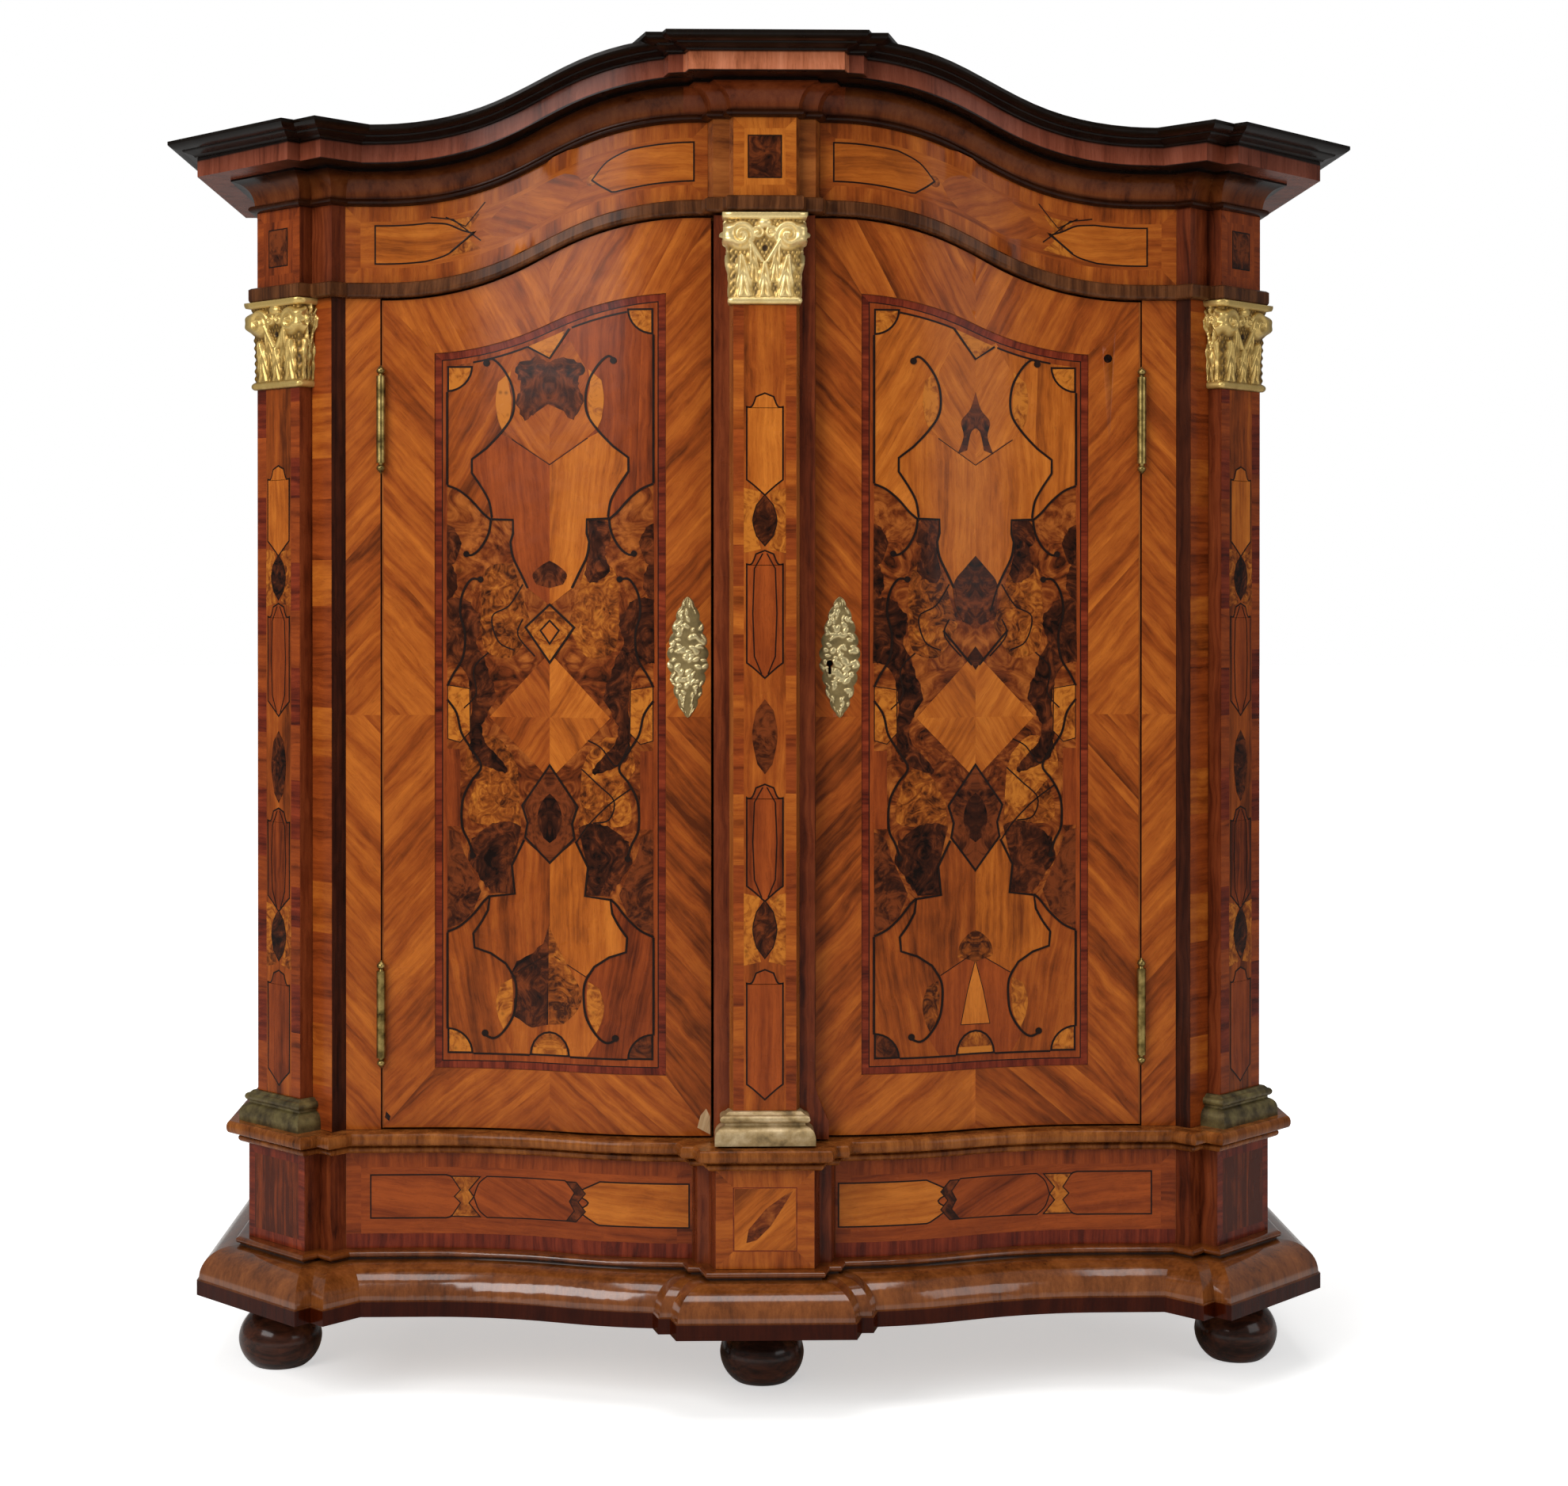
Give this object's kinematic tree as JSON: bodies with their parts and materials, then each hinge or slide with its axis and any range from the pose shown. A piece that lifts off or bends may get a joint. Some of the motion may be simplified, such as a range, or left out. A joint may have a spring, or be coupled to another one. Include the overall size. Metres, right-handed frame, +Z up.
{
  "type": "hall cupboard",
  "caption": "Tall two-door hall cupboard with a serpentine front, an arched cornice, canted corner pilasters, gilded capitals, inlaid panels and bun feet; both doors open.",
  "frame": {"origin": "on the floor, under the centre of the cupboard's outermost box", "axes": "+X to the right of someone who faces the doors, +Y from the doors to the back, +Z up"},
  "size_m": [1.93, 0.782, 2.138],
  "materials": {
    "walnut_veneer": "glossy varnish over walnut veneer laid in mitres",
    "inlaid_walnut": "glossy varnish over burl veneer with dark strapwork lines",
    "walnut_moulding": "glossy varnish on solid moulded walnut",
    "dark_cross_banding": "glossy varnish over dark cross-banded veneer",
    "dark_turned_wood": "black polish on turned wood",
    "plain_inside_wood": "plain planed softwood",
    "gilded_wood": "worn gilding on carved wood",
    "dulled_gilded_wood": "darkened gilding on carved wood",
    "pale_brass": "pale engraved brass sheet",
    "aged_brass": "aged turned brass",
    "dark_iron": "oiled wrought iron"
  },
  "bodies": {
    "carcass": {"foot_front_left": "dark_turned_wood", "foot_front_centre": "dark_turned_wood", "foot_front_right": "dark_turned_wood", "foot_rear_left": "dark_turned_wood", "foot_rear_right": "dark_turned_wood", "base_board": "plain_inside_wood", "base_moulding": "walnut_moulding", "plinth_front": "walnut_veneer", "plinth_side_left": "walnut_veneer", "plinth_side_right": "walnut_veneer", "plinth_centre_block": "walnut_veneer", "plinth_moulding": "walnut_moulding", "floor_board": "plain_inside_wood", "side_panel_left": "walnut_veneer", "side_panel_right": "walnut_veneer", "back_panel": "plain_inside_wood", "corner_post_left": "walnut_veneer", "corner_post_right": "walnut_veneer", "corner_pilaster_left": "inlaid_walnut", "corner_pilaster_right": "inlaid_walnut", "corner_capital_left": "gilded_wood", "corner_capital_right": "gilded_wood", "corner_base_left": "dulled_gilded_wood", "corner_base_right": "dulled_gilded_wood", "shelf_lower": "plain_inside_wood", "shelf_upper": "plain_inside_wood", "shelf_battens": "plain_inside_wood", "architrave": "dark_cross_banding", "frieze_front": "walnut_veneer", "frieze_side_left": "walnut_veneer", "frieze_side_right": "walnut_veneer", "frieze_centre_block": "walnut_veneer", "top_board": "plain_inside_wood", "cornice": "walnut_moulding", "frame_hinges_left": "aged_brass", "frame_hinges_right": "aged_brass"},
    "left_door": {"left_door_hinge_stile": "walnut_veneer", "left_door_meeting_stile": "walnut_veneer", "left_door_top_rail": "walnut_veneer", "left_door_bottom_rail": "walnut_veneer", "left_door_panel": "inlaid_walnut", "left_escutcheon": "pale_brass", "door_hinges_left": "aged_brass", "bolt_guides": "dark_iron", "lock_keeper": "dark_iron"},
    "right_door": {"right_door_hinge_stile": "walnut_veneer", "right_door_meeting_stile": "walnut_veneer", "right_door_top_rail": "walnut_veneer", "right_door_bottom_rail": "walnut_veneer", "right_door_panel": "inlaid_walnut", "right_escutcheon": "pale_brass", "door_hinges_right": "aged_brass", "lock_case": "dark_iron", "door_backing_strip": "walnut_veneer", "door_pilaster": "inlaid_walnut", "door_capital": "gilded_wood", "door_pilaster_base": "gilded_wood"},
    "top_bolt": {"top_bolt": "dark_iron"},
    "bottom_bolt": {"bottom_bolt": "dark_iron"},
    "lock_bolt": {"lock_bolt": "dark_iron"}
  },
  "joints": [
    {"name": "left_door_swing", "type": "hinge", "parent": "carcass", "child": "left_door", "pos_m": [-0.616, -0.137, 1], "axis": [0, 0, -1], "range_deg": [0, 110]},
    {"name": "right_door_swing", "type": "hinge", "parent": "carcass", "child": "right_door", "pos_m": [0.616, -0.137, 1], "axis": [0, 0, 1], "range_deg": [0, 110]},
    {"name": "top_bolt_slide", "type": "slide", "parent": "left_door", "child": "top_bolt", "axis": [0, 0, 1], "range_m": [0, 0.02]},
    {"name": "bottom_bolt_slide", "type": "slide", "parent": "left_door", "child": "bottom_bolt", "axis": [0, 0, -1], "range_m": [0, 0.02]},
    {"name": "lock_bolt_slide", "type": "slide", "parent": "right_door", "child": "lock_bolt", "axis": [-1, 0, 0], "range_m": [0, 0.03]}
  ]
}
